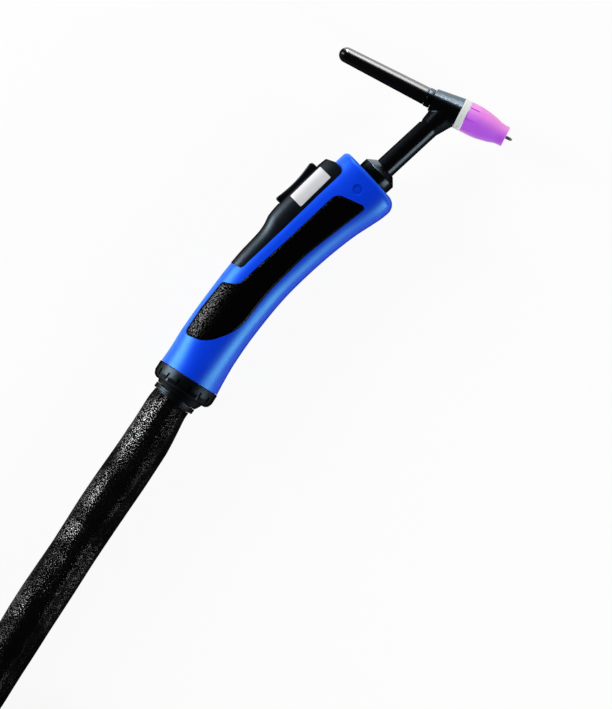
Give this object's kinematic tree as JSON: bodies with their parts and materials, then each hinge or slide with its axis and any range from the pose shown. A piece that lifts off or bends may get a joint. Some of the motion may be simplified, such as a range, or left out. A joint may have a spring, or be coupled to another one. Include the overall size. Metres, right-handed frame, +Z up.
{
  "type": "tig torch",
  "caption": "Hand-held TIG welding torch with a curved inlaid grip, rocker switch, angled head, long back cap, ceramic nozzle and a ball-jointed hose with its plug.",
  "frame": {"origin": "on the bench, under the middle of the torch's box (handle, neck, head and ball, without the hose); the torch lies on its side and its nut touches z = 0", "axes": "+X from the rear nut towards the head, +Y towards the back cap and the switch, +Z up from the bench, square to the torch's plane"},
  "size_m": [0.7542, 0.4467, 0.064],
  "materials": {
    "blue_plastic": "satin, bright blue",
    "black_plastic": "satin, black",
    "grip_rubber": "fine grain, black",
    "moulding": "smooth silicone rubber moulding, black",
    "ceramic": "unglazed pink-violet ceramic",
    "ptfe": "white PTFE",
    "tungsten": "ground tungsten",
    "brass": "turned brass",
    "copper": "bare copper",
    "steel": "zinc plated",
    "board": "printed circuit board",
    "seal_rubber": "smooth",
    "leather": "grained, black",
    "hose_rubber": "matt, black"
  },
  "bodies": {
    "torch": {"handle_shell_left": "blue_plastic", "handle_shell_right": "blue_plastic", "grip_inlay_left": "grip_rubber", "grip_inlay_right": "grip_rubber", "handle_screw_front": "steel", "handle_screw_rear": "steel", "switch_housing": "black_plastic", "rocker_pin": "steel", "switch_board": "board", "micro_switch_front": "black_plastic", "micro_switch_rear": "black_plastic", "neck_collar": "moulding", "head_cover": "moulding", "torch_body": "brass", "neck_tube": "copper", "head_rear_ring": "moulding", "insulator_ring": "ptfe", "collet_body": "copper", "collet": "copper", "power_connector": "brass", "hose_ferrule": "brass", "power_hose": "hose_rubber", "control_lead": "hose_rubber", "rear_nut": "black_plastic", "ball_seat": "black_plastic"},
    "rocker": {"switch_rocker": "black_plastic"},
    "seal": {"cap_seal": "seal_rubber"},
    "cap": {"back_cap": "black_plastic"},
    "nozzle": {"gas_nozzle": "ceramic"},
    "tungsten": {"electrode": "tungsten"},
    "hose": {"hose_ball": "black_plastic", "hose_end_in_ball": "hose_rubber", "sleeve_clamp": "black_plastic", "leather_sleeve": "leather", "sleeve_cuff": "hose_rubber", "hose_lead_in": "hose_rubber", "hose_coil": "hose_rubber", "hose_lead_out": "hose_rubber", "plug_boot": "hose_rubber", "plug_body": "black_plastic", "plug_insert": "black_plastic", "plug_power_pin": "brass"},
    "union_nut": {"plug_union_nut": "brass"}
  },
  "joints": [
    {"name": "rocker_tilt", "type": "hinge", "parent": "torch", "child": "rocker", "pos_m": [0.0209, 0.0219, 0.0234], "axis": [0, 0, 1], "range_deg": [-3.5, 3.5], "stiffness_Nm_per_rad": 0.4},
    {"name": "cap_slide", "type": "slide", "parent": "torch", "child": "seal", "axis": [-0.2622, 0.965, 0], "range_m": [0, 0.009]},
    {"name": "cap_turn", "type": "hinge", "parent": "seal", "child": "cap", "pos_m": [0.13214, -0.01833, 0.0234], "axis": [-0.2622, 0.965, 0], "range_deg": [0, 2160]},
    {"name": "nozzle_slide", "type": "slide", "parent": "torch", "child": "nozzle", "axis": [0.2622, -0.965, 0], "range_m": [0, 0.04]},
    {"name": "electrode_slide", "type": "slide", "parent": "torch", "child": "tungsten", "axis": [0.2622, -0.965, 0], "range_m": [-0.0025, 0.015]},
    {"name": "hose_swing", "type": "hinge", "parent": "torch", "child": "hose", "pos_m": [-0.13542, -0.01205, 0.0234], "axis": [0, 0, 1], "range_deg": [-4.5, 15.5]},
    {"name": "union_nut_turn", "type": "hinge", "parent": "hose", "child": "union_nut", "pos_m": [-0.5332, -0.1937, 0.049], "axis": [0.2588, -0.9659, 0], "continuous": true}
  ],
  "couplings": [
    {"joint": "cap_turn", "follows": "cap_slide", "rad_per_m": 4188.7}
  ]
}
